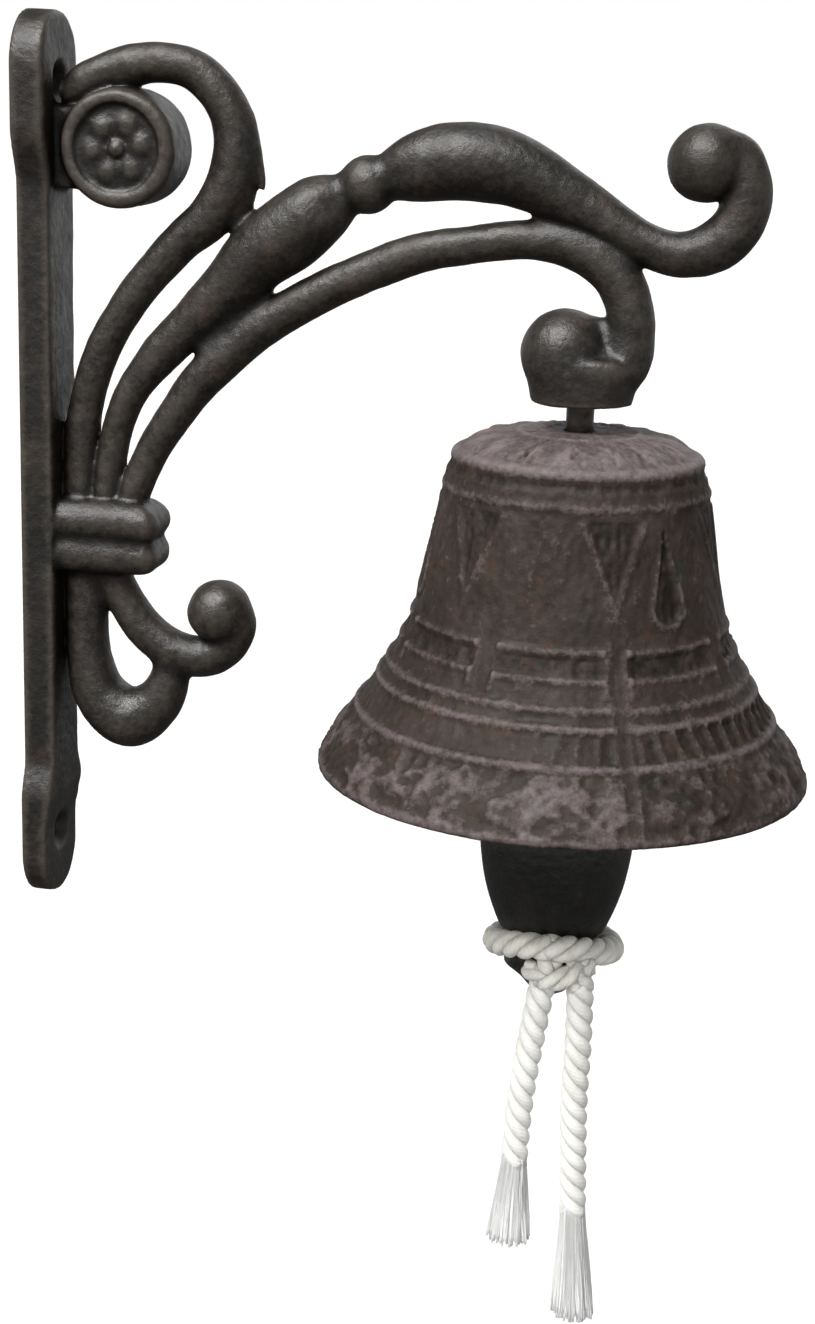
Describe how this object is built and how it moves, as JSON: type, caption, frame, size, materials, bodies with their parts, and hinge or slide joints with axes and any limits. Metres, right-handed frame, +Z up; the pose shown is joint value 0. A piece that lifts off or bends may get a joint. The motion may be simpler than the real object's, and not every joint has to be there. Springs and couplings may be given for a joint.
{
  "type": "wall bell",
  "caption": "Cast iron bell on a scrolled wall bracket, with a clapper that swings on a ring and a cotton rope pull.",
  "frame": {"origin": "on the wall face of the back plate, halfway between its two screw holes", "axes": "+X out of the wall along the bracket, +Z up, Y along the wall; the bracket is symmetric about Y = 0"},
  "size_m": [0.1776, 0.1092, 0.2904],
  "materials": {
    "bracket_iron": "rough sand-cast iron, near-black brown antique coat",
    "bell_iron": "rough sand-cast iron, rusty brown antique coat",
    "clapper_iron": "rough sand-cast iron, black paint",
    "dark_steel": "oiled dark steel",
    "cotton_rope": "off-white three-strand twisted cotton"
  },
  "bodies": {
    "bracket": {"back_plate": "bracket_iron", "rosette_boss": "bracket_iron", "top_scroll": "bracket_iron", "main_arm": "bracket_iron", "lower_arm": "bracket_iron", "hook_boss": "bracket_iron", "collar": "bracket_iron", "lower_scroll": "bracket_iron", "ball_scroll": "bracket_iron", "eye_bolt": "dark_steel", "crown_washer": "dark_steel", "crown_nut": "dark_steel"},
    "bell": {"bell": "bell_iron"},
    "ring": {"clapper_ring": "dark_steel"},
    "clapper": {"clapper": "clapper_iron", "rope_wrap": "cotton_rope", "rope_tail_left": "cotton_rope", "rope_tail_right": "cotton_rope", "tassel_left": "cotton_rope", "tassel_right": "cotton_rope"}
  },
  "joints": [
    {"name": "bell_spin", "type": "hinge", "parent": "bracket", "child": "bell", "pos_m": [0.123, 0, 0.0147], "axis": [0, 0, 1], "continuous": true},
    {"name": "ring_swing", "type": "hinge", "parent": "bracket", "child": "ring", "pos_m": [0.123, 0, -0.0032], "axis": [1, 0, 0], "range_deg": [-8, 8]},
    {"name": "clapper_swing", "type": "hinge", "parent": "ring", "child": "clapper", "pos_m": [0.123, 0, -0.0146], "axis": [0, 1, 0], "range_deg": [-26, 26]}
  ]
}
